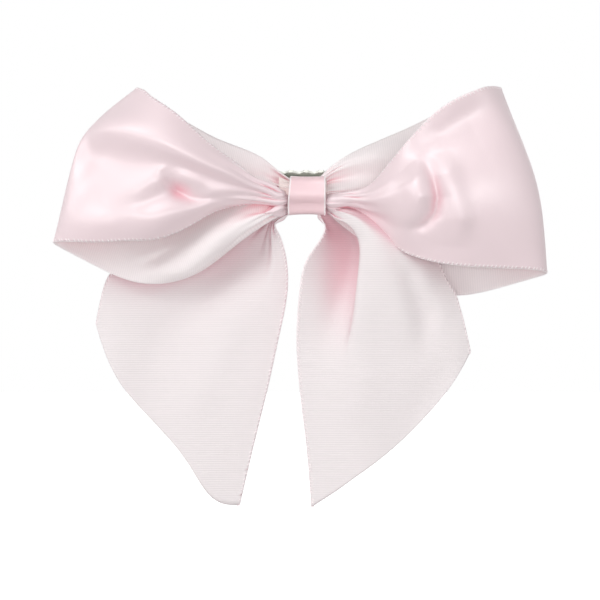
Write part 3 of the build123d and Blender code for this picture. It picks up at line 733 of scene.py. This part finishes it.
# The torsion spring: a coil round the pin, one leg on the upper jaw and one under the handle.
PIVOT = (11.0, 2.2)
COIL_R = 1.3
WIRE_R = 0.25
COIL_TURNS = 4 + 172 / 360
COIL_PITCH = 0.62
COIL_POINTS = 200
coil_height = COIL_PITCH * COIL_TURNS
angles = -math.pi / 2 - np.linspace(0, 2 * math.pi * COIL_TURNS, COIL_POINTS)
coil = [(PIVOT[0] + COIL_R * math.cos(a), PIVOT[1] + COIL_R * math.sin(a), z)
        for a, z in zip(angles, np.linspace(-coil_height / 2, coil_height / 2, len(angles)))]
low_leg = [(19.0, 2 * WIRE_R, -coil_height / 2), (15.0, 0.7, -coil_height / 2),
           (12.2, 0.86, -coil_height / 2)]
high_leg = [(12.0, 3.62, coil_height / 2), (14.2, 3.9, coil_height / 2), (19.0, 5.75, coil_height / 2)]
verts, faces = tube(low_leg + coil + high_leg, WIRE_R, 10)
wire = mesh_object("clip_spring_wire", verts, faces, SPRING_STEEL)
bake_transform(wire)
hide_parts("clip_spring")

# ------------------------------------------------------------------ stage, light and camera
def plane(name, corners, colour, glow):
    """A stage surface with a glow that only the camera sees."""
    mesh = bpy.data.meshes.new(name)
    mesh.from_pydata(corners, [], [(0, 1, 2, 3)])
    material, shader = new_material(name, colour, 0.9)
    links = material.node_tree.links
    ray = add(material, "ShaderNodeLightPath")
    white = add(material, "ShaderNodeEmission", Strength=glow)
    both = add(material, "ShaderNodeAddShader", in0=shader.outputs[0], in1=white.outputs[0])
    choose = add(material, "ShaderNodeMixShader", in0=ray.outputs["Is Camera Ray"], in1=shader.outputs[0],
                 in2=both.outputs[0])
    links.new(choose.outputs[0], material.node_tree.nodes["Material Output"].inputs["Surface"])
    mesh.materials.append(material)
    piece = bpy.data.objects.new(name, mesh)
    bpy.context.collection.objects.link(piece)


FLOOR_Z = cad_low[2] - 0.03
plane("floor", [(-2, -2, FLOOR_Z), (2, -2, FLOOR_Z), (2, 2, FLOOR_Z), (-2, 2, FLOOR_Z)],
      (0.85, 0.85, 0.85), 1.0)


def area_light(name, place, target, width, height, power):
    """A rectangular lamp at place that faces the target. Sizes are metres, power is watts."""
    data = bpy.data.lights.new(name, "AREA")
    data.shape = "RECTANGLE"
    data.size = width
    data.size_y = height
    data.energy = power
    lamp = bpy.data.objects.new(name, data)
    lamp.location = place
    lamp.rotation_euler = (Vector(target) - Vector(place)).to_track_quat("-Z", "Y").to_euler()
    bpy.context.collection.objects.link(lamp)


centre = (0.0, -0.01, -0.02)
area_light("key", (-0.42, -0.66, 0.50), centre, 0.34, 0.34, 1.7)
area_light("front", (0.1, -0.9, -0.03), centre, 0.9, 0.12, 2.15)
area_light("left", (-0.75, -0.45, 0.15), centre, 0.34, 0.34, 1.0)
area_light("above", (-0.12, -0.62, 0.72), centre, 0.35, 0.35, 1.0)
area_light("right", (0.75, -0.50, 0.05), centre, 0.3, 0.3, 0.3)
area_light("back", (0.25, 0.90, 0.30), centre, 0.5, 0.5, 1.2)

world = bpy.data.worlds.new("studio")
world.use_nodes = True
light = world.node_tree.nodes["Background"]
light.inputs["Color"].default_value = (1, 1, 1, 1)
light.inputs["Strength"].default_value = 0.38
seen = world.node_tree.nodes.new("ShaderNodeBackground")
seen.inputs["Color"].default_value = (1, 1, 1, 1)
ray = world.node_tree.nodes.new("ShaderNodeLightPath")
choose = world.node_tree.nodes.new("ShaderNodeMixShader")
either = world.node_tree.nodes.new("ShaderNodeMath")
either.operation = "MAXIMUM"
world.node_tree.links.new(ray.outputs["Is Camera Ray"], either.inputs[0])
world.node_tree.links.new(ray.outputs["Is Glossy Ray"], either.inputs[1])
world.node_tree.links.new(either.outputs[0], choose.inputs["Fac"])
world.node_tree.links.new(light.outputs[0], choose.inputs[1])
world.node_tree.links.new(seen.outputs[0], choose.inputs[2])
world.node_tree.links.new(choose.outputs[0], world.node_tree.nodes["World Output"].inputs["Surface"])
bpy.context.scene.world = world
bpy.context.scene.view_settings.view_transform = "Standard"

SENSOR = 36.0
LENS = 200.0
FRAME_WIDTH = 0.1319  # what the view spans at the bow's middle
camera_data = bpy.data.cameras.new("camera")
camera_data.sensor_width = SENSOR
camera_data.lens = LENS
camera = bpy.data.objects.new("camera", camera_data)
camera.location = (-0.0013, -0.008 - FRAME_WIDTH * LENS / SENSOR, -0.0245)
camera.rotation_euler = (math.radians(90), 0, 0)
bpy.context.collection.objects.link(camera)
bpy.context.scene.camera = camera
